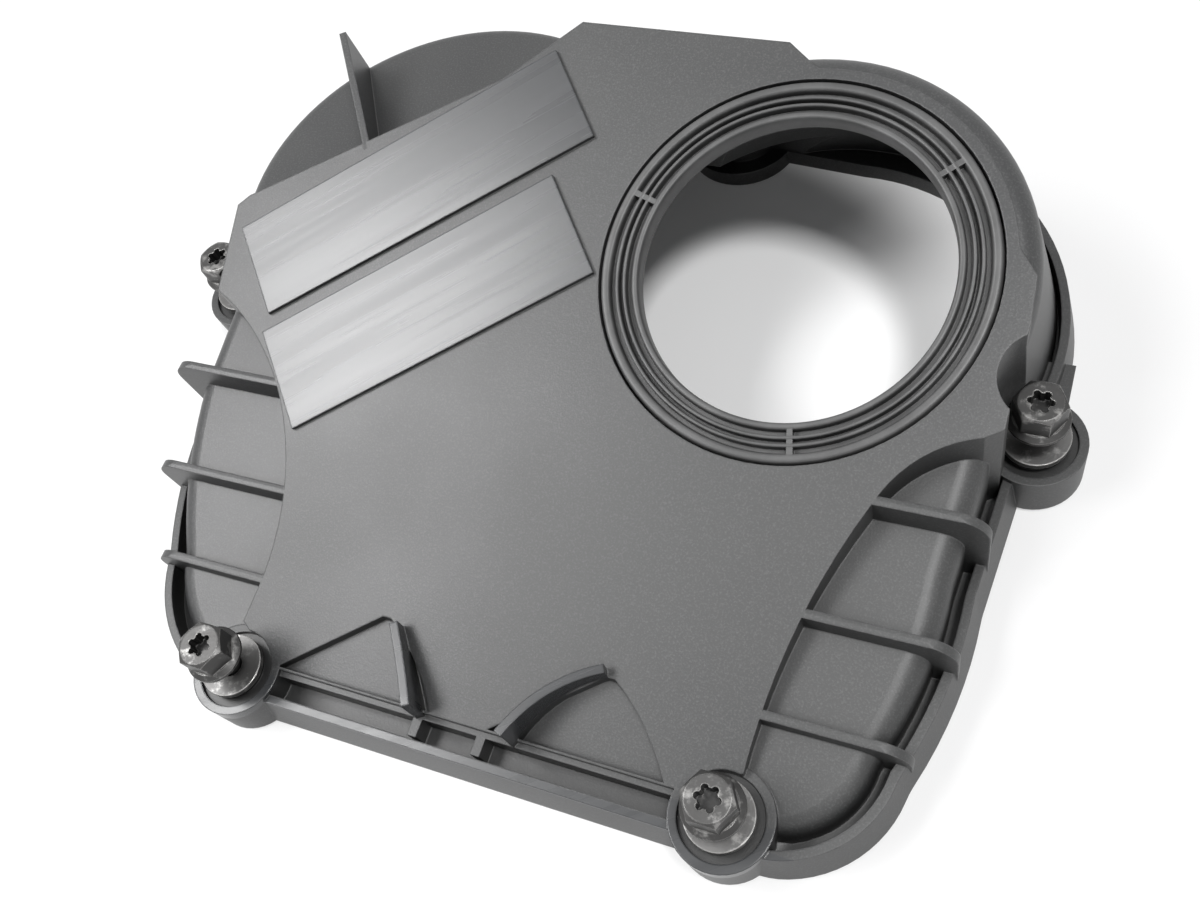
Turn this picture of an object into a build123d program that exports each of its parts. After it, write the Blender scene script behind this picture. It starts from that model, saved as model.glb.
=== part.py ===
"""Upper timing chain cover: a moulded shell with captive bolts, bushes and seals.

The sealing face lies on the XY plane and the cover stands face up on it, +Z up.
X runs along the front rail, Y runs to the back, and the origin is the bottom centre.
"""
import os
from math import atan, cos, radians, sin, tan

from build123d import *

os.makedirs("parts", exist_ok=True)

# overall size and walls
half_width = 118.1
half_depth = 101.8
wall = 2.5
seat_height = 0.6          # underside of the flange, held up by the gasket bead

# bolt bosses and what sits in them
boss_radius = 11.1
boss_top = 12.25
bush_radius = 9.09
boss_shelf_top = 3.4
boss_shelf_radius = 6.4
bolt_side_x = half_width - boss_radius
bolt_front_y = boss_radius - half_depth
bolt_back_y = half_depth - boss_radius
bolt_spots = {
    "front_left": (-56.0, bolt_front_y),
    "front_right": (63.7, bolt_front_y),
    "side_right": (bolt_side_x, 5.6),
    "side_left": (-bolt_side_x, 9.6),
    "back": (15.3, bolt_back_y),
}

# sloping main face and the round opening in it
face_tilt = 16.06
opening_x = 51.6
opening_y = 20.8
opening_height = 43.5
recess_radius = 44.3
recess_depth = 4.2
recess_floor = 2.6
opening_radius = 36.0

# the two round housings behind the face
right_drum_radius = 51.0
right_drum_draft = 6.0
right_drum_round = 6.0
left_drum_radius = 56.0
left_drum_x = -42.7
left_drum_y = 33.8
left_drum_height = 40.0
left_drum_round = 4.0

# flange, rim and side bays
flange_front_y = -97.8
flange_corner = 20.0         # softens every joint of the outline
flange_thickness = 4.6
rim_top = 11.0
rim_inset = 3.8             # from the foot of the outer wall to the trough
rim_draft = 10.0
bay_inset = 6.2
bay_slope = 0.214
bay_mid_height = 28.6
bay_round = 5.5
bay_back_y = 2.0
back_cap_height = 17.0
rib_thickness = 2.0
rib_ys = (-69.7, -48.8, -24.2)
rib_ends = ((-90.4, 97.2), (-98.4, 101.8), (-102.6, 103.0))
rib_corner = 7.0

# front rail
rail_front_y = -92.5
rail_channel = 3.2
rail_rib = 1.8
rail_back_y = rail_front_y + rail_channel + rail_rib
rail_length = bolt_spots["front_right"][0] - bolt_spots["front_left"][0]
rail_mid_x = (bolt_spots["front_right"][0] + bolt_spots["front_left"][0]) / 2
web_thickness = 2.2
rail_web_left = -7.6
rail_web_right = 8.3

# pockets and fins of the front, and the fin on the left housing
pocket_depth = 2.2
pocket_pitch = 55.5
fin_thickness = 2.0
fin_top = 20.5
fin_lines = (
    ((-7.0, -89.0), (-12.4, -80.0), (-17.6, -72.2)),
    ((15.4, -89.0), (24.0, -76.0), (33.0, -69.8)),
)
gusset_base = (-62.6, 36.6)
gusset_length = 34.5
gusset_foot = 45.0
gusset_angle = 120.5
gusset_thickness = 1.8

# lug on the right of the flange
lug_x = 108.3
lug_y = 21.0
lug_width = 8.0
lug_length = 15.0
lug_height = 8.0

# bare label pads
pad_height = 1.0
pad_turn = 36.64
pad_upper = (93.0, 26.2)
pad_upper_spot = (-128.0, -30.3)
pad_lower = (83.3, 27.8)
pad_lower_spot = (-111.5, -57.6)

# opening seal
seal_clearance = 0.35
seal_bore = 34.76
seal_base = 2.4
seal_ridge = 1.9
seal_web = 1.6
seal_web_turn = 30
seal_ridges = ((43.9, 41.4), (40.4, 39.3), (38.7, 37.6), (36.6, 34.76))

# flange gasket
gasket_inset = 4.4
gasket_width = 2.8
gasket_depth = 2.4
gasket_bolt_gap = 1.6
gasket_land = 2.0

# captive bolts, sleeves and rubber bushes
bolt_radius = 3.0
bolt_neck_radius = 2.45
bolt_clearance = 0.3
bolt_length = 22.0
bolt_thread = 9.0
bolt_point = 0.8
head_flange_radius = 6.6
head_flange = 1.7
hex_across = 10.0
hex_height = 5.6
hex_crown_radius = 4.6
hex_crown = 0.7
hex_crown_angle = 60
head_edge = 0.8
head_cone = 1.2
socket_radius = 2.05
socket_lobe = 0.75
socket_depth = 3.2
sleeve_radius = 4.5
sleeve_disc_radius = 7.43
sleeve_disc = 1.5
sleeve_top = 14.9
sleeve_neck = 2.0
bush_sink = 0.9
bush_crown_radius = 6.6

face_plane = Plane(
    origin=(opening_x, opening_y, opening_height),
    x_dir=(1, 0, 0),
    z_dir=(0, -sin(radians(face_tilt)), cos(radians(face_tilt))),
)
face_under = face_plane.offset(-wall)
bay_angle = atan(bay_slope)
bay_plane = Plane(
    origin=(0, 0, bay_mid_height),
    x_dir=(1, 0, 0),
    z_dir=(0, -sin(bay_angle), cos(bay_angle)),
)
tall = 2 * opening_height


def face_height(y):
    """Height of the main face above the sealing face at a given y."""
    return opening_height + (y - opening_y) * tan(radians(face_tilt))


gusset_base_height = face_height(gusset_base[1])
gusset_tip_height = face_height(gusset_base[1] + gusset_length * sin(radians(gusset_angle)))
gusset_plane = Plane(
    origin=(*gusset_base, 0),
    x_dir=(cos(radians(gusset_angle)), sin(radians(gusset_angle)), 0),
    z_dir=(sin(radians(gusset_angle)), -cos(radians(gusset_angle)), 0),
)

# outer outline of the flange, seen from above
with BuildSketch() as flange_outline:
    with BuildLine():
        front = Line((-62.0, flange_front_y), (74.0, flange_front_y))
        right_corner = ThreePointArc(front @ 1, (88.9, -90.2), (97.0, -73.5))
        right_low = ThreePointArc(right_corner @ 1, (101.8, -56.0), (103.6, -33.0))
        right_side = Line(right_low @ 1, (107.0, 8.0))
        right_arc = ThreePointArc(right_side @ 1, (92.0, 75.7), (51.6, 91.8))
        back = Line(right_arc @ 1, (15.3, 95.5))
        back_left = Line(back @ 1, (-27.2, 91.8))
        left_arc = ThreePointArc(back_left @ 1, (-85.1, 76.2), (-101.8, 23.4))
        left_side = Line(left_arc @ 1, (-103.6, -24.5))
        left_low = ThreePointArc(left_side @ 1, (-99.8, -47.0), (-91.5, -69.0))
        left_corner = ThreePointArc(left_low @ 1, (-80.5, -88.0), front @ 0)
    make_face()

# outline of the sloping face, seen from above
with BuildSketch() as face_outline:
    with BuildLine():
        face_front = Line((-47.0, rail_back_y - 0.5), (54.7, rail_back_y - 0.5))
        boss_right = Line(face_front @ 1, (66.0, -81.5))
        flank_right = ThreePointArc(boss_right @ 1, (68.6, -58.0), (79.7, -24.2))
        cove_right = ThreePointArc(flank_right @ 1, (86.5, -14.6), (98.2, -8.2))
        pillar = Polyline(cove_right @ 1, (101.6, -6.0), (102.4, 16.3), (101.8, 25.5))
        shoulder_right = Line(pillar @ 1, (91.4, 37.5))
        behind_opening = Line(shoulder_right @ 1, (46.2, 66.3))
        step_back = Polyline(behind_opening @ 1, (39.3, 71.3), (-12.8, 73.2), (-30.0, 57.5))
        crease = Line(step_back @ 1, (-93.4, 20.9))
        corner_left = Polyline(crease @ 1, (-96.2, 18.0), (-94.3, -4.5))
        cove_left = ThreePointArc(corner_left @ 1, (-78.6, -14.2), (-66.3, -28.3))
        flank_left = ThreePointArc(cove_left @ 1, (-57.6, -50.0), (-56.8, -70.0))
        boss_left = Polyline(flank_left @ 1, (-58.5, -80.0), face_front @ 0)
    make_face()

# region inside the gasket groove: kept clear of every bolt
with BuildSketch() as gasket_region:
    add(flange_outline.sketch)
    offset(amount=-gasket_inset)
    with Locations(*bolt_spots.values()):
        Circle(bush_radius + gasket_bolt_gap, mode=Mode.SUBTRACT)

with BuildSketch() as gasket_inner:
    add(gasket_region.sketch)
    offset(amount=-gasket_width)

with BuildSketch() as flange_opening:
    add(gasket_inner.sketch)
    offset(amount=-gasket_land)

# housing on the left: upright, with a level top
with BuildPart() as left_drum:
    with BuildSketch(Plane.XY.offset(seat_height)):
        with Locations((left_drum_x, left_drum_y)):
            Circle(left_drum_radius)
    extrude(amount=left_drum_height - seat_height)
    fillet(left_drum.faces().sort_by(Axis.Z)[-1].edges(), left_drum_round)
    split(bisect_by=face_plane, keep=Keep.BOTTOM)

# housing on the right: square to the sloping face, opening out downwards
with BuildPart() as right_drum:
    with BuildSketch(face_plane):
        Circle(right_drum_radius)
    extrude(amount=-tall, taper=-right_drum_draft)
    fillet(right_drum.faces().filter_by(face_plane).edges(), right_drum_round)
    split(bisect_by=Plane.XY.offset(seat_height), keep=Keep.TOP)

# side bays: a lower sloping step with rounded shoulders
with BuildPart() as bays:
    with BuildSketch(Plane.XY.offset(seat_height)):
        add(flange_outline.sketch)
        offset(amount=-bay_inset)
    extrude(amount=tall)
    split(bisect_by=bay_plane, keep=Keep.BOTTOM)
    split(bisect_by=Plane.XZ.offset(-bay_back_y), keep=Keep.TOP)
    bay_top = bays.faces().filter_by(bay_plane).sort_by(Axis.Z)[-1]
    fillet(bay_top.edges().filter_by(Axis.X, reverse=True), bay_round)

# low rear part of the body, between and behind the housings
with BuildPart() as back_cap:
    with BuildSketch(Plane.XY.offset(seat_height)):
        add(flange_outline.sketch)
        offset(amount=-bay_inset)
    extrude(amount=back_cap_height - seat_height)
    split(bisect_by=Plane.XZ.offset(-bay_back_y), keep=Keep.BOTTOM)

# everything together as a solid block
with BuildPart() as hull:
    with BuildSketch(Plane.XY.offset(seat_height)):
        add(face_outline.sketch)
    extrude(amount=tall)
    split(bisect_by=face_plane, keep=Keep.BOTTOM)
    add(left_drum.part)
    add(right_drum.part)
    add(bays.part)
    add(back_cap.part)

# arched pockets in the front of the face, seen from above
with BuildSketch() as pocket_outline:
    for shift in (0, pocket_pitch):
        with BuildLine():
            pocket_base = Line((-46.0 + shift, rail_back_y), (-5.0 + shift, rail_back_y))
            pocket_steep = ThreePointArc(
                pocket_base @ 1, (-13.2 + shift, -76.6), (-21.5 + shift, -70.0)
            )
            pocket_shallow = ThreePointArc(
                pocket_steep @ 1, (-31.2 + shift, -77.0), pocket_base @ 0
            )
        make_face()

with BuildPart() as pockets:
    add(pocket_outline.sketch)
    extrude(amount=tall)
    split(bisect_by=face_plane.offset(-pocket_depth), keep=Keep.TOP)

# the hollow inside, one wall thinner all round and clear of the bolt bores
with BuildPart() as right_hollow:
    with BuildSketch(face_under):
        Circle(right_drum_radius - wall)
    extrude(amount=-tall, taper=-right_drum_draft)
    split(bisect_by=Plane.XY, keep=Keep.TOP)

with BuildPart() as bay_hollow:
    with BuildSketch():
        add(flange_outline.sketch)
        offset(amount=-bay_inset - wall)
    extrude(amount=tall)
    split(bisect_by=bay_plane.offset(-wall), keep=Keep.BOTTOM)
    split(bisect_by=Plane.XZ.offset(-bay_back_y), keep=Keep.TOP)

with BuildPart() as back_hollow:
    with BuildSketch():
        add(flange_outline.sketch)
        offset(amount=-bay_inset - wall)
    extrude(amount=back_cap_height - wall)
    split(bisect_by=Plane.XZ.offset(-bay_back_y), keep=Keep.BOTTOM)

with BuildPart() as pocket_back:
    with BuildSketch():
        add(pocket_outline.sketch)
        offset(amount=wall)
    extrude(amount=tall)
    split(bisect_by=face_under.offset(-pocket_depth), keep=Keep.TOP)

with BuildPart() as cavity:
    with BuildSketch():
        add(face_outline.sketch)
        offset(amount=-wall)
    extrude(amount=tall)
    split(bisect_by=face_under, keep=Keep.BOTTOM)
    with BuildSketch():
        with Locations((left_drum_x, left_drum_y)):
            Circle(left_drum_radius - wall)
    extrude(amount=left_drum_height - wall)
    split(bisect_by=face_under, keep=Keep.BOTTOM)
    add(right_hollow.part)
    add(bay_hollow.part)
    add(back_hollow.part)
    add(pocket_back.part, mode=Mode.SUBTRACT)
    with BuildSketch():
        with Locations(*bolt_spots.values()):
            Circle(boss_radius)
    extrude(amount=tall, mode=Mode.SUBTRACT)

# flange plate, with the outer rim wall standing on its edge
with BuildPart() as flange:
    with BuildSketch(Plane.XY.offset(seat_height)) as rim_outline:
        add(flange_outline.sketch)
        fillet(rim_outline.vertices(), flange_corner)
    extrude(amount=rim_top - seat_height, taper=rim_draft)
    with BuildSketch(Plane.XY.offset(seat_height + flange_thickness)):
        add(flange_outline.sketch)
        offset(amount=-rim_inset)
    extrude(amount=rim_top, mode=Mode.SUBTRACT)

with BuildPart() as flange_hole:
    add(cavity.part)
    with BuildSketch():
        add(flange_opening.sketch)
    extrude(amount=seat_height + flange_thickness, mode=Mode.INTERSECT)

# ribs across the bays, fins beside the pockets and the fin on the left housing
with BuildPart() as ribs:
    for rib_y, (rib_left, rib_right) in zip(rib_ys, rib_ends):
        with BuildSketch(Plane.XZ.offset(-rib_y)):
            with BuildLine():
                rib_line = Polyline(
                    (rib_left, seat_height), (rib_left, face_height(rib_y)),
                    (rib_right, face_height(rib_y)), (rib_right, seat_height), close=True,
                )
                fillet(rib_line.vertices().group_by(Axis.Z)[-1], rib_corner)
            make_face()
        extrude(amount=rib_thickness / 2, both=True)
    split(bisect_by=face_plane, keep=Keep.BOTTOM)
    for fin_line in fin_lines:
        with BuildSketch(Plane.XY.offset(seat_height)):
            with BuildLine():
                Spline(*fin_line)
            trace(line_width=fin_thickness)
        extrude(amount=fin_top - seat_height)
    with BuildSketch(gusset_plane):
        with BuildLine():
            Polyline(
                (-wall, seat_height), (-wall, gusset_base_height - wall), (0, gusset_base_height),
                (gusset_length, gusset_tip_height), (gusset_foot, back_cap_height),
                (gusset_foot, seat_height), close=True,
            )
        make_face()
    extrude(amount=gusset_thickness / 2, both=True)
    with BuildSketch():
        with Locations(((rail_web_left + rail_web_right) / 2, rail_front_y + rail_channel / 2)):
            with GridLocations(rail_web_right - rail_web_left, 1, 2, 1):
                Rectangle(web_thickness, rail_channel + rail_rib)
    extrude(amount=rim_top)
    with BuildSketch():
        with Locations((rail_mid_x, rail_front_y + rail_channel + rail_rib / 2)):
            Rectangle(rail_length, rail_rib)
    extrude(amount=rim_top)
    split(bisect_by=Plane.XY.offset(seat_height), keep=Keep.TOP)
    add(cavity.part, mode=Mode.SUBTRACT)

# the moulded shell, in one piece
with BuildPart() as cover_shell:
    add(hull.part)
    add(cavity.part, mode=Mode.SUBTRACT)
    add(pockets.part, mode=Mode.SUBTRACT)
    with BuildSketch(Plane.XY.offset(seat_height + flange_thickness)):
        with Locations((rail_mid_x, rail_front_y + rail_channel / 2)):
            Rectangle(rail_length, rail_channel)
    extrude(amount=tall, mode=Mode.SUBTRACT)
    with BuildSketch(face_plane):
        Circle(recess_radius + wall)
    extrude(amount=-recess_depth - recess_floor)
    add(flange.part)
    add(flange_hole.part, mode=Mode.SUBTRACT)
    add(ribs.part)
    with BuildSketch(Plane.XY.offset(seat_height)):
        with Locations(*bolt_spots.values()):
            Circle(boss_radius)
    extrude(amount=boss_top - seat_height)
    with BuildSketch(face_plane):
        for (length, breadth), spot in ((pad_upper, pad_upper_spot), (pad_lower, pad_lower_spot)):
            with Locations(Location(spot, pad_turn)):
                Rectangle(length, breadth, align=(Align.MIN, Align.MIN))
    extrude(amount=pad_height)
    with BuildSketch(Plane.XY.offset(seat_height)):
        with Locations((lug_x, lug_y)):
            Rectangle(lug_width, lug_length)
    extrude(amount=lug_height)
    with BuildSketch(face_plane):
        Circle(recess_radius)
    extrude(amount=-recess_depth, mode=Mode.SUBTRACT)
    with BuildSketch(face_plane):
        Circle(opening_radius)
    extrude(amount=-recess_depth - recess_floor, mode=Mode.SUBTRACT)
    with BuildSketch(Plane.XY.offset(boss_shelf_top)):
        with Locations(*bolt_spots.values()):
            Circle(bush_radius)
    extrude(amount=tall, mode=Mode.SUBTRACT)
    with BuildSketch():
        with Locations(*bolt_spots.values()):
            Circle(boss_shelf_radius)
    extrude(amount=tall, mode=Mode.SUBTRACT)
    with BuildSketch(Plane.XY.offset(seat_height)):
        add(gasket_region.sketch)
        add(gasket_inner.sketch, mode=Mode.SUBTRACT)
    extrude(amount=gasket_depth, mode=Mode.SUBTRACT)

cover_shell.part.label = "cover_shell"
export_step(cover_shell.part, "parts/cover_shell.step")

# rubber bead in the groove of the flange, standing proud of it
with BuildPart() as flange_gasket:
    with BuildSketch():
        add(gasket_region.sketch)
        add(gasket_inner.sketch, mode=Mode.SUBTRACT)
    extrude(amount=seat_height + gasket_depth)

flange_gasket.part.label = "flange_gasket"
export_step(flange_gasket.part, "parts/flange_gasket.step")

# ridged rubber ring in the recess round the opening, tied by three webs
seal_plane = face_plane.offset(-recess_depth)
with BuildPart() as aperture_seal:
    with BuildSketch(seal_plane):
        Circle(recess_radius - seal_clearance)
        Circle(seal_bore, mode=Mode.SUBTRACT)
    extrude(amount=seal_base)
    for ridge_outer, ridge_inner in seal_ridges:
        with BuildSketch(seal_plane.offset(seal_base)):
            Circle(ridge_outer)
            Circle(ridge_inner, mode=Mode.SUBTRACT)
        extrude(amount=seal_ridge)
    with BuildSketch(seal_plane.offset(seal_base)):
        with PolarLocations((seal_ridges[0][0] + seal_bore) / 2, 3, start_angle=seal_web_turn):
            Rectangle(seal_ridges[0][0] - seal_bore - seal_web, seal_web)
    extrude(amount=seal_ridge)

aperture_seal.part.label = "aperture_seal"
export_step(aperture_seal.part, "parts/aperture_seal.step")

# one captive bolt with its sleeve and rubber bush in every boss
sleeve_bore = bolt_radius + bolt_clearance
sleeve_neck_bore = bolt_neck_radius + bolt_clearance
head_bottom = bolt_length
hex_bottom = head_bottom + head_flange
hex_top = hex_bottom + hex_height
hex_corner = hex_across / 2 / cos(radians(30))
for spot_name, spot in bolt_spots.items():
    with BuildPart() as bush:
        with BuildSketch(Plane.XY.offset(boss_shelf_top)):
            with Locations(spot):
                Circle(bush_radius)
                Circle(sleeve_radius, mode=Mode.SUBTRACT)
        extrude(amount=boss_top - bush_sink - boss_shelf_top)
        with BuildSketch(Plane.XY.offset(boss_shelf_top)):
            with Locations(spot):
                Circle(bush_crown_radius)
                Circle(sleeve_radius, mode=Mode.SUBTRACT)
        extrude(amount=sleeve_top - sleeve_disc - boss_shelf_top)
        with BuildSketch(Plane.XY.offset(seat_height)):
            with Locations(spot):
                Circle(boss_shelf_radius)
                Circle(sleeve_radius, mode=Mode.SUBTRACT)
        extrude(amount=boss_shelf_top - seat_height)
    bush.part.label = f"bush_{spot_name}"
    export_step(bush.part, f"parts/bush_{spot_name}.step")

    with BuildPart() as sleeve:
        with BuildSketch(Plane.XY.offset(seat_height)):
            with Locations(spot):
                Circle(sleeve_radius)
                Circle(sleeve_bore, mode=Mode.SUBTRACT)
        extrude(amount=sleeve_top - seat_height)
        with BuildSketch(Plane.XY.offset(sleeve_top - sleeve_disc)):
            with Locations(spot):
                Circle(sleeve_disc_radius)
                Circle(sleeve_bore, mode=Mode.SUBTRACT)
        extrude(amount=sleeve_disc)
        with BuildSketch(Plane.XY.offset(sleeve_top - sleeve_neck)):
            with Locations(spot):
                Circle(sleeve_radius)
                Circle(sleeve_neck_bore, mode=Mode.SUBTRACT)
        extrude(amount=sleeve_neck)
    sleeve.part.label = f"sleeve_{spot_name}"
    export_step(sleeve.part, f"parts/sleeve_{spot_name}.step")

    with BuildPart() as bolt:
        with BuildSketch():
            with Locations(spot):
                Circle(bolt_radius)
        extrude(amount=bolt_thread)
        chamfer(bolt.faces().sort_by(Axis.Z)[0].edges(), bolt_point)
        with BuildSketch(Plane.XY.offset(bolt_thread)):
            with Locations(spot):
                Circle(bolt_neck_radius)
        extrude(amount=head_bottom - bolt_thread)
        with BuildSketch(Plane.XY.offset(head_bottom)):
            with Locations(spot):
                Circle(head_flange_radius)
        extrude(amount=head_flange)
        chamfer(bolt.faces().sort_by(Axis.Z)[-1].edges(), head_flange - head_edge, head_cone)
        with BuildSketch(Plane.XY.offset(hex_bottom)):
            with Locations(spot):
                RegularPolygon(hex_corner, 6)
        extrude(amount=hex_height)
        with BuildSketch(Plane.XY.offset(hex_top)):
            with Locations(spot):
                Circle(2 * hex_corner)
                Circle(hex_crown_radius, mode=Mode.SUBTRACT)
        extrude(amount=-hex_crown, taper=hex_crown_angle, mode=Mode.SUBTRACT)
        with BuildSketch(Plane.XY.offset(hex_top)):
            with Locations(spot):
                Circle(socket_radius)
                with PolarLocations(socket_radius, 6):
                    Circle(socket_lobe)
        extrude(amount=-socket_depth, mode=Mode.SUBTRACT)
    bolt.part.label = f"bolt_{spot_name}"
    export_step(bolt.part, f"parts/bolt_{spot_name}.step")
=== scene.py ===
# %% [markdown]
# # A moulded timing chain cover, dressed over its solid model
# The cover is one dark plastic moulding that lies on its sealing face. Rubber rings, steel
# sleeves and captive bolts are fitted into it. The solid model already has every piece at full
# size, so this lesson loads it as a fixed frame and gives each piece a finish like the real
# one's: grain, polish, bloom and rub marks, with painted shade darkening the inside corners.

import bpy
import numpy as np
from mathutils import Matrix, Vector


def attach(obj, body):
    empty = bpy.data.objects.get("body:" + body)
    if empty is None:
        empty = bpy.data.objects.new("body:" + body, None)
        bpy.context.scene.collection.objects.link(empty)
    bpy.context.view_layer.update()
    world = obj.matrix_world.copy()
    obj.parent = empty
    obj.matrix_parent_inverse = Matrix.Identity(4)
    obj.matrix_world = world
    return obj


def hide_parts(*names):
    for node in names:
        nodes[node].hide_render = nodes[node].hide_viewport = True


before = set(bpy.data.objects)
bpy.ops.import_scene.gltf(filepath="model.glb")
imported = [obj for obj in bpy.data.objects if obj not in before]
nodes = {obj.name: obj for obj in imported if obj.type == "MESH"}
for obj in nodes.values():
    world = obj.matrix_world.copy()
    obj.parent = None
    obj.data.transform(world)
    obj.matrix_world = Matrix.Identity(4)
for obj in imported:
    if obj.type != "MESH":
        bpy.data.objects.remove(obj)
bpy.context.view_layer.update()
print("solid pieces:", len(nodes))

# %% [markdown]
# ## Writing shader maths as Python
# A finish is a small network of nodes. Wiring each Math node by hand hides the formula, so one
# class wraps a socket and overloads the operators: `1 - mask * 0.5` then adds its own nodes.
# Every other node comes from one method, `make`, which takes the node's type, its settings and
# what goes into its sockets.

# %% Sockets with operators, and a finish
class Value:
    """A number that varies over a surface: an output socket in a node tree."""

    def __init__(self, network, socket):
        self.network = network
        self.socket = socket

    def _math(self, operation, first, second):
        """One Math node: the operation on the first value and the second."""
        settings = {"operation": operation}
        return self.network.make("ShaderNodeMath", settings, {0: first, 1: second})

    def __add__(self, other):
        return self._math("ADD", self, other)

    def __sub__(self, other):
        return self._math("SUBTRACT", self, other)

    def __rsub__(self, other):
        return self._math("SUBTRACT", other, self)

    def __mul__(self, other):
        return self._math("MULTIPLY", self, other)

    def __gt__(self, other):
        return self._math("GREATER_THAN", self, other)

    __radd__ = __add__


class Network:
    """A node tree that nodes are added to."""

    def __init__(self, tree):
        self.tree = tree

    def make(self, kind, settings, sockets, output=0):
        """Adds a node: its settings first, then its sockets, and gives back one output."""
        node = self.tree.nodes.new(kind)
        for name, setting in settings.items():
            setattr(node, name, setting)
        for key, value in sockets.items():
            self.put(node.inputs[key], value)
        return Value(self, node.outputs[output])

    def put(self, socket, value):
        """Links a varying value to a socket, or sets a plain number on it."""
        if isinstance(value, Value):
            self.tree.links.new(value.socket, socket)
        else:
            socket.default_value = value

    def seen(self):
        """1 for rays that show the background itself: straight, mirrored or through glass."""
        kinds = ("Is Camera Ray", "Is Glossy Ray", "Is Transmission Ray")
        first, second, third = (self.make("ShaderNodeLightPath", {}, {}, kind) for kind in kinds)
        return first + second + third


class Finish(Network):
    """A material with one Principled shader, built up by expressions."""

    def __init__(self, name):
        self.material = bpy.data.materials.new(name)
        self.material.use_nodes = True
        super().__init__(self.material.node_tree)
        self.shader = self.tree.nodes["Principled BSDF"]
        self.place = self.make("ShaderNodeTexCoord", {}, {}, "Object")

    def feed(self, **sockets):
        """Sets the shader's own sockets; an underscore in a name stands for a space."""
        for name, value in sockets.items():
            self.put(self.shader.inputs[name.replace("_", " ")], value)

    def noise(self, scale, detail=2.0, roughness=0.5, place=None):
        """Cloudy noise from 0 to 1; scale is the number of patches in a metre."""
        sockets = {"Vector": place or self.place, "Scale": scale, "Detail": detail}
        sockets["Roughness"] = roughness
        return self.make("ShaderNodeTexNoise", {}, sockets, "Fac")

    def spread(self, value, low, high, start=0.0, end=1.0):
        """Maps low..high of a value to start..end, smoothly and without overshoot."""
        settings = {"interpolation_type": "SMOOTHSTEP"}
        sockets = {"Value": value, 1: low, 2: high, 3: start, 4: end}
        return self.make("ShaderNodeMapRange", settings, sockets)

    def blend(self, share, first, second):
        """Mixes two colours: the second one's share goes from 0 to 1."""
        settings = {"data_type": "RGBA"}
        return self.make("ShaderNodeMix", settings, {0: share, 6: first, 7: second}, 2)

    def stretch(self, turn, scale):
        """Object coordinates turned and scaled, for a pattern with a direction."""
        sockets = {"Vector": self.place, "Rotation": turn, "Scale": scale}
        return self.make("ShaderNodeMapping", {"vector_type": "TEXTURE"}, sockets)

    def dot(self, first, second):
        """Dot product of two vectors, as a number."""
        settings = {"operation": "DOT_PRODUCT"}
        return self.make("ShaderNodeVectorMath", settings, {0: first, 1: second}, "Value")


def grey(level):
    """A colour whose red, green and blue are the same level, with full cover."""
    return (level, level, level, 1)


print("shader helpers ready")

# %% [markdown]
# ## Edges and corners
# A real moulding has no knife edges: each edge has a small round that catches the light, and
# each inside corner lies in some shade. The solids have sharp edges, so the Bevel node bends the
# normal close to an edge. Where the bent normal leaves the flat one there is an edge, and the
# Ambient Occlusion node tells an inside corner from an outside one. The finishes below use that
# corner shade to paint shade into their colour.

# %% Rounded edges, edge wear and corner shade
def soft_edges(finish, radius):
    """Gives the rounded normal and how much each point belongs to an edge, from 0 to 1."""
    round_normal = finish.make("ShaderNodeBevel", {"samples": 6}, {"Radius": radius}, "Normal")
    flat_normal = finish.make("ShaderNodeNewGeometry", {}, {}, "True Normal")
    edge = finish.spread(1 - finish.dot(round_normal, flat_normal), 0.01, 0.16)
    return round_normal, edge


def corner_shade(finish, reach):
    """1 on open surfaces, falling towards 0 deep in an inside corner."""
    settings = {"samples": 8, "only_local": True}
    return finish.make("ShaderNodeAmbientOcclusion", settings, {"Distance": reach}, "AO")


def grained(finish, height, strength, distance, normal):
    """Feeds a height field to the shader as a bump over the rounded normal."""
    sockets = {"Height": height, "Strength": strength, "Distance": distance, "Normal": normal}
    finish.feed(Normal=finish.make("ShaderNodeBump", {}, sockets))


print("edge helpers ready")

# %% [markdown]
# ## The moulded plastic
# The shell is taken to be a black-grey filled plastic with a fine grain. The grain scatters
# light, so the face looks pale where the lamp is mirrored and much darker elsewhere. The two
# bare pads stand a millimetre proud of the sloping face and are polished, with faint streaks
# along their length. They are told apart by their height above the face, which is a dot product
# with the face's own normal.

# %% Plastic of the shell
face_tilt = np.radians(16.06)
face_point = np.array([0.0516, 0.0208, 0.0435])
face_normal = np.array([0.0, -np.sin(face_tilt), np.cos(face_tilt)])
pad_turn = np.radians(36.64)
pad_floor = 0.0006

plastic = Finish("moulded_plastic")
above_face = plastic.dot(plastic.place, tuple(face_normal)) - float(face_point @ face_normal)
pad = above_face > pad_floor
normal, edge = soft_edges(plastic, 0.0005)
shade = corner_shade(plastic, 0.014)
cloud = plastic.noise(14.0, 3.0)
grain = plastic.noise(2200.0, 2.0, 0.6)
streaks = plastic.noise(
    60.0, 4.0, 0.65, plastic.stretch((0.0, 0.0, float(pad_turn)), (9.0, 0.32, 9.0))
)
scuffs = plastic.noise(420.0, 3.0, 0.7)

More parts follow.
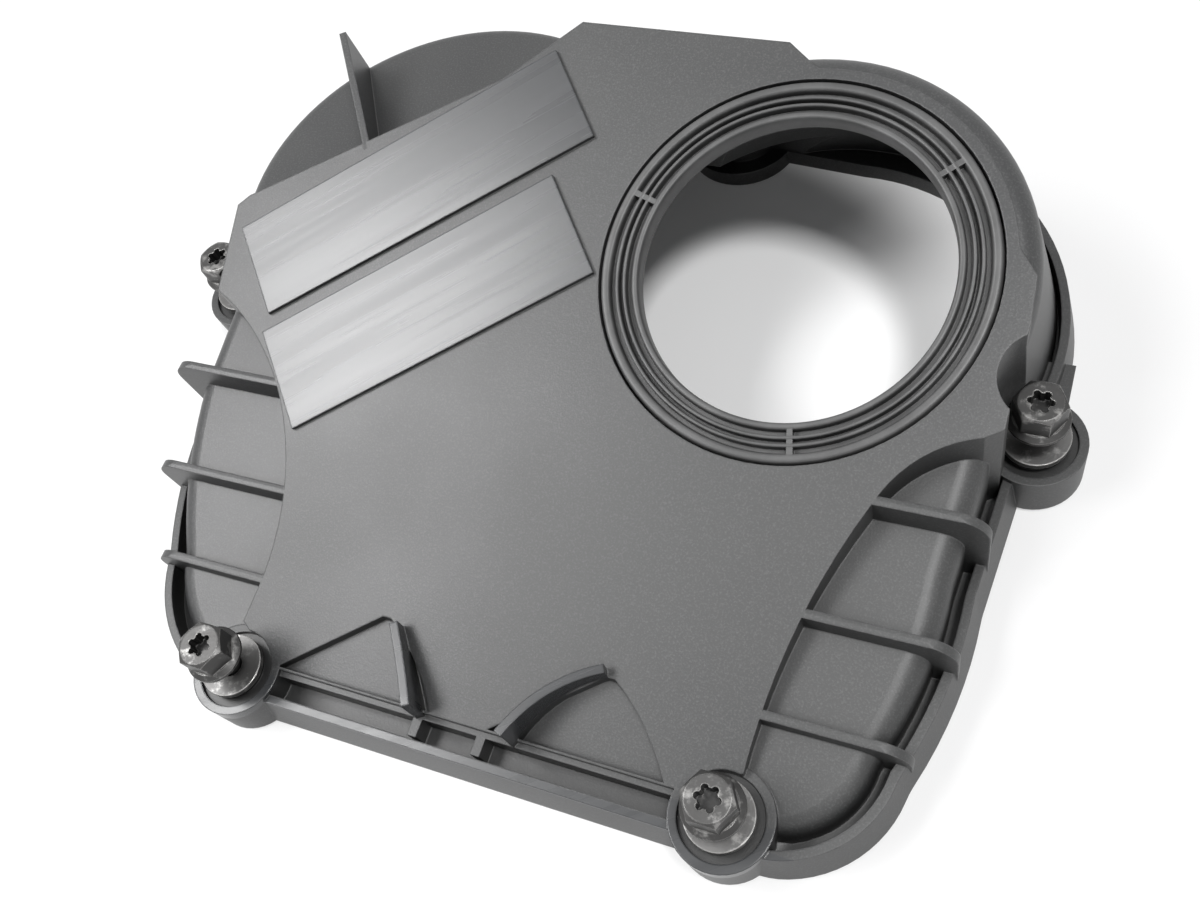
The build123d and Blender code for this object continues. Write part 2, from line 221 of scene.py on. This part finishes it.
deep_grey, pale_grey = (0.025, 0.0255, 0.0265, 1), (0.036, 0.0365, 0.0365, 1)
matt = plastic.blend(plastic.spread(cloud, 0.3, 0.7), deep_grey, pale_grey)
matt = plastic.blend(plastic.spread(grain, 0.45, 0.75, 0.0, 0.35), matt, grey(0.12))
worn = edge * shade * plastic.spread(scuffs, 0.3, 0.7, 0.15, 0.6)
matt = plastic.blend(worn, matt, grey(0.2))
pad_dark, pad_pale = (0.034, 0.035, 0.037, 1), (0.05, 0.052, 0.055, 1)
polished = plastic.blend(streaks, pad_dark, pad_pale)
colour = plastic.blend(pad, matt, polished)
# Painted shade: the colour goes nearly black deep in inside corners, following the corner shade.
painted_corner_shade = plastic.spread(shade, 0.15, 0.85, 0.94, 0.0)
colour = plastic.blend(painted_corner_shade, colour, grey(0.008))
matt_rough = plastic.spread(cloud, 0.3, 0.7, 0.37, 0.45) + grain * 0.06
pad_rough = plastic.spread(streaks, 0.3, 0.7, 0.24, 0.31)
plastic.feed(Base_Color=colour, Roughness=matt_rough * (1 - pad) + pad_rough * pad)
plastic.feed(Specular_IOR_Level=0.6)
grained(plastic, grain * (1 - pad) + streaks * pad * 0.08, 0.18, 0.00018, normal)
print("plastic nodes:", len(plastic.tree.nodes))

# %% [markdown]
# ## The rubber
# The seal round the opening is a satin black rubber that looks grey in the light, with a pale
# bloom on its ridges. The bushes and the gasket are a deeper black, and the gasket is duller.
# One function makes all three, from a dark colour, a bloom colour and a roughness.

# %% Rubber of the seal, the bushes and the gasket
def rubber(name, dark, bloom, rough):
    """Noise picks between the dark rubber and its bloom; edges carry more bloom; corners get
    painted shade.
    """
    finish = Finish(name)
    normal, edge = soft_edges(finish, 0.00025)
    shade = corner_shade(finish, 0.003)
    cloud = finish.noise(90.0, 4.0, 0.6)
    skin = finish.noise(3200.0, 2.0)
    colour = finish.blend(finish.spread(cloud, 0.35, 0.75), grey(dark), grey(bloom))
    colour = finish.blend(edge * shade * 0.45, colour, grey(bloom * 2.2))
    # Painted shade: the rubber goes nearly black deep in inside corners, following the corner
    # shade.
    painted_corner_shade = finish.spread(shade, 0.0, 0.8, 0.8, 0.0)
    colour = finish.blend(painted_corner_shade, colour, grey(0.006))
    finish.feed(Base_Color=colour, Roughness=rough + cloud * 0.12)
    grained(finish, skin, 0.2, 0.00012, normal)
    return finish


seal_rubber = rubber("seal_rubber", 0.062, 0.1, 0.36)
bush_rubber = rubber("bush_rubber", 0.012, 0.024, 0.34)
gasket_rubber = rubber("gasket_rubber", 0.018, 0.032, 0.5)
rubbers = (seal_rubber, bush_rubber, gasket_rubber)
print("rubber finishes:", [finish.material.name for finish in rubbers])

# %% [markdown]
# ## The worn steel
# The bolts and sleeves are taken to be steel with a dark coat. Use has rubbed the coat off the
# edges, which shine, and painted shade darkens the colour to near black in the sockets and under
# the heads. The wear is an edge mask broken up by noise, and the painted shade is the corner
# shade.

# %% Steel of the bolts and the sleeves
def worn_steel(name, coat, bright, rough, reach):
    """A dark coat over bright metal: edges show the metal, corners get painted shade."""
    finish = Finish(name)
    normal, edge = soft_edges(finish, 0.00045)
    shade = corner_shade(finish, reach)
    patches = finish.noise(260.0, 4.0, 0.65)
    specks = finish.noise(1500.0, 3.0, 0.7)
    rubbed = edge * finish.spread(specks, 0.25, 0.6, 0.45, 1.0)
    rubbed = rubbed + finish.spread(patches, 0.52, 0.68, 0.0, 0.55) * (1 - edge)
    stained = (coat * 0.7, coat * 0.68, coat * 0.66, 1)
    colour = finish.blend(patches, stained, grey(coat))
    metal = (bright, bright * 0.985, bright * 0.96, 1)
    colour = finish.blend(rubbed, colour, metal)
    # Painted shade: the colour goes nearly black in sockets and under heads, following the corner
    # shade.
    painted_socket_shade = finish.spread(shade, 0.05, 0.85, 0.95, 0.0)
    colour = finish.blend(painted_socket_shade, colour, grey(0.01))
    finish.feed(Base_Color=colour, Roughness=rough - rubbed * 0.12 + specks * 0.14)
    finish.feed(Metallic=finish.spread(shade, 0.1, 0.7, 0.4, 0.95))
    grained(finish, specks * 0.6 + patches, 0.25, 0.0002, normal)
    return finish


bolt_steel = worn_steel("bolt_steel", 0.08, 0.36, 0.36, 0.005)
sleeve_steel = worn_steel("sleeve_steel", 0.16, 0.5, 0.4, 0.004)
print("steel finishes:", [finish.material.name for finish in (bolt_steel, sleeve_steel)])

# %% [markdown]
# ## Each solid takes its finish
# The solids keep their own meshes: only the material in each one's slot changes. A piece is
# matched by the first word of its name.

# %% Give the solids their finishes
finishes = {
    "cover": plastic,
    "aperture": seal_rubber,
    "flange": gasket_rubber,
    "bush": bush_rubber,
    "sleeve": sleeve_steel,
    "bolt": bolt_steel,
}
for name, solid in nodes.items():
    solid.data.materials.clear()
    solid.data.materials.append(finishes[name.split("_")[0]].material)
print("dressed:", ", ".join(sorted(nodes)))

# %% [markdown]
# ## The ridged seal
# The rubber ring round the opening has four ridges with round crests, tied by three small bars.
# The solid keeps the ridges square, which is enough for its size and its fit. Here the ring is
# one surface over two parameters: where a point is along the section, and how far it is round
# the ring. A bar only raises the section to its own height inside a narrow range of angles, so
# it needs no mesh of its own, just a few more grid lines at its sides.

# %% Section and surface of the seal
seal_bore, seal_rim = 0.03476, 0.04395
seal_foot, seal_base, ridge_height = 0.0042, 0.0024, 0.0019
ridges = np.array([[43.9, 41.4], [40.4, 39.3], [38.7, 37.6], [36.6, 34.76]]) / 1000
bar_turn, bar_count, bar_width = 42.2, 3, 0.0015
bar_from_bore, bar_from_rim, bar_height = 0.0004, 0.0006, 0.92 * ridge_height
seal_rounds, ridge_steps = 144, 15
face_across = np.array([1.0, 0.0, 0.0])
face_up = np.cross(face_normal, face_across)


def crest(radius):
    """Height over the base: the root of 1 less the fourth power of the way off a ridge's middle."""
    middle, half = ridges.mean(1), (ridges[:, 0] - ridges[:, 1]) / 2
    off = np.clip(np.abs(radius[..., None] - middle) / half, 0, 1)
    return ridge_height * np.sqrt(1 - off**4).max(-1)


def bar_share(angle):
    """1 inside one of the bars and 0 outside, for angles round the ring."""
    step = 2 * np.pi / bar_count
    off = np.abs((angle - np.radians(bar_turn) + step / 2) % step - step / 2)
    return off < bar_width / 2 / seal_rim


def seal_grid(rounds):
    """Points of the ring: a closed section, foot and crown, carried round the opening's axis."""
    sides = np.radians(bar_turn) + np.arange(bar_count)[:, None] * 2 * np.pi / bar_count
    near = np.array([-1.02, -0.98, 0.98, 1.02]) * bar_width / 2 / seal_rim
    even = np.linspace(0, 2 * np.pi, rounds + 1)[:-1]
    angle = np.unique(np.append(even, (sides + near) % (2 * np.pi)))
    swing = np.cos(np.linspace(0, np.pi, ridge_steps))
    tops = ridges.mean(1)[:, None] + (ridges[:, :1] - ridges[:, 1:]) / 2 * swing
    radius = np.concatenate([[seal_rim], tops.ravel()])
    height = seal_base + np.broadcast_to(crest(radius), (angle.size, radius.size))
    inside = (radius > seal_bore + bar_from_bore) & (radius < seal_rim - bar_from_rim)
    bar = bar_share(angle)[:, None] & inside
    height = np.where(bar, np.maximum(height, seal_base + bar_height), height)
    foot = np.zeros((angle.size, 1))
    radius = np.concatenate([[seal_rim], radius, [seal_bore]])
    height = np.concatenate([foot, height, foot], 1) - seal_foot
    spoke = np.cos(angle)[:, None, None] * face_across + np.sin(angle)[:, None, None] * face_up
    return face_point + radius[None, :, None] * spoke + height[..., None] * face_normal


def ring_faces(rounds, section):
    """Quads between neighbours on the grid, which closes on itself both ways."""
    index = np.arange(rounds * section).reshape(rounds, section)
    ahead, beside = np.roll(index, -1, 0), np.roll(index, -1, 1)
    return np.stack([index, ahead, np.roll(beside, -1, 0), beside], -1).reshape(-1, 4)


# %% Make the seal
grid = seal_grid(seal_rounds)
points = grid.reshape(-1, 3)
faces = ring_faces(*grid.shape[:2])
seal_mesh = bpy.data.meshes.new("seal_ring")
seal_mesh.from_pydata(points.tolist(), [], faces.tolist())
seal_mesh.shade_smooth()
seal_mesh.set_sharp_from_angle(angle=0.9)
seal_mesh.materials.append(seal_rubber.material)
seal_ring = bpy.data.objects.new("seal_ring", seal_mesh)
bpy.context.scene.collection.objects.link(seal_ring)
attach(seal_ring, "cover")
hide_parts("aperture_seal")
quads = points[faces] - face_point
halves = np.concatenate([quads[:, [0, 1, 2]], quads[:, [0, 2, 3]]])
seal_volume = (halves[:, 0] * np.cross(halves[:, 1], halves[:, 2])).sum() / 6
print("seal grid:", grid.shape[:2], "volume in mm3:", round(seal_volume * 1e9))

# %% [markdown]
# ## The table, the light and the room
# The cover lies on a white table in a bright room. The table's material is partly white to the
# camera and in mirrors, and the rest is pale paint that keeps the shadow; to every other ray it
# is that paint alone. Under the cover, where the opening shows the table, the paint keeps nearly
# all of its shade. A window on the left is mirrored in the pads, an open door gives the front of
# the face its sheen, a ceiling lamp on the right shines down through the opening, and the world
# fills in the rest.

# %% Table and room
def table_top(half, height):
    """A flat square: half a side each way from the origin, at one height."""
    corners = np.array([[-1, -1], [1, -1], [1, 1], [-1, 1]]) * half
    points = np.column_stack([corners, np.full(4, height)])
    mesh = bpy.data.meshes.new("table")
    mesh.from_pydata(points.tolist(), [], [[0, 1, 2, 3]])
    return bpy.data.objects.new("table", mesh)


paint = Finish("table_paint")
mottle = paint.noise(6.0, 3.0)
paint.feed(Base_Color=paint.blend(mottle, grey(0.84), grey(0.88)))
paint.feed(Roughness=0.55 + mottle * 0.1)
glow = paint.make("ShaderNodeEmission", {}, {"Color": grey(1), "Strength": 1.0}, "Emission")
painted = Value(paint, paint.shader.outputs[0])
across = paint.make("ShaderNodeVectorMath", {"operation": "LENGTH"}, {0: paint.place}, "Value")
under, near_by, far_out = 0.04, 0.62, 1.0
# Painted light: the table glows white to the camera, more so away from the cover, which paints out
# much of the cover's cast shadow around it; under the cover it keeps its shade.
white_share = paint.spread(across, 0.085, 0.115, under, near_by)
white_share = white_share + paint.spread(across, 0.3, 1.1, 0.0, far_out - near_by)
share = paint.seen() * white_share
mixed = paint.make("ShaderNodeMixShader", {}, {0: share, 1: painted, 2: glow})
paint.put(paint.tree.nodes["Material Output"].inputs["Surface"], mixed)
table = table_top(6.0, -0.0002)
table.data.materials.append(paint.material)
bpy.context.scene.collection.objects.link(table)

world = bpy.data.worlds.new("room")
bpy.context.scene.world = world
world.use_nodes = True
room = Network(world.node_tree)
fill = {"Color": (0.93, 0.96, 1.0, 1), "Strength": 0.14}
ambient = room.make("ShaderNodeBackground", {}, fill, "Background")
white = room.make("ShaderNodeBackground", {}, {"Color": grey(1)}, "Background")
sky = room.make("ShaderNodeMixShader", {}, {0: room.seen(), 1: ambient, 2: white})
room.put(room.tree.nodes["World Output"].inputs["Surface"], sky)
print("table and room ready")

# %% Lamps
def soft_lamp(name, place, target, size, power):
    """An area lamp at a place, turned to face a target."""
    data = bpy.data.lights.new(name, "AREA")
    data.shape = "RECTANGLE"
    data.size, data.size_y = size
    data.energy = power
    lamp = bpy.data.objects.new(name, data)
    lamp.location = place
    lamp.rotation_euler = (Vector(target) - Vector(place)).to_track_quat("-Z", "Y").to_euler()
    bpy.context.scene.collection.objects.link(lamp)


middle = (0.0, 0.0, 0.02)
soft_lamp("window", (-0.68, -0.06, 1.03), middle, (0.4, 0.4), 7.2)
soft_lamp("door", (-0.66, -0.42, 0.96), middle, (0.42, 0.42), 5.6)
soft_lamp("ceiling", (0.5, -0.1, 1.35), (0.05, 0.0, 0.02), (0.25, 0.25), 14.0)
print("lamps:", 3)

# %% [markdown]
# ## The camera
# The photograph was taken from close by, above the front right corner, so its perspective is
# strong. The camera's turn is written as its three axes: right, up and back.

# %% Camera
view_right = Vector((0.916537, 0.322433, -0.236638))
view_up = Vector((-0.182529, 0.863674, 0.469841))
view_back = Vector((0.35587, -0.387433, 0.850442))
view_place = Vector((0.11238, -0.12680, 0.25349))
focal_pixels, picture_pixels = 1184.73, 1200
camera_data = bpy.data.cameras.new("camera")
camera_data.sensor_fit = "HORIZONTAL"
camera_data.sensor_width = 36.0
camera_data.lens = camera_data.sensor_width * focal_pixels / picture_pixels
camera_data.clip_start = 0.01
camera = bpy.data.objects.new("camera", camera_data)
axes = Matrix((view_right, view_up, view_back)).transposed()
camera.matrix_world = Matrix.Translation(view_place) @ axes.to_4x4()
bpy.context.scene.collection.objects.link(camera)
bpy.context.scene.camera = camera
bpy.context.scene.view_settings.view_transform = "Standard"
print("lens in mm:", round(camera_data.lens, 2))
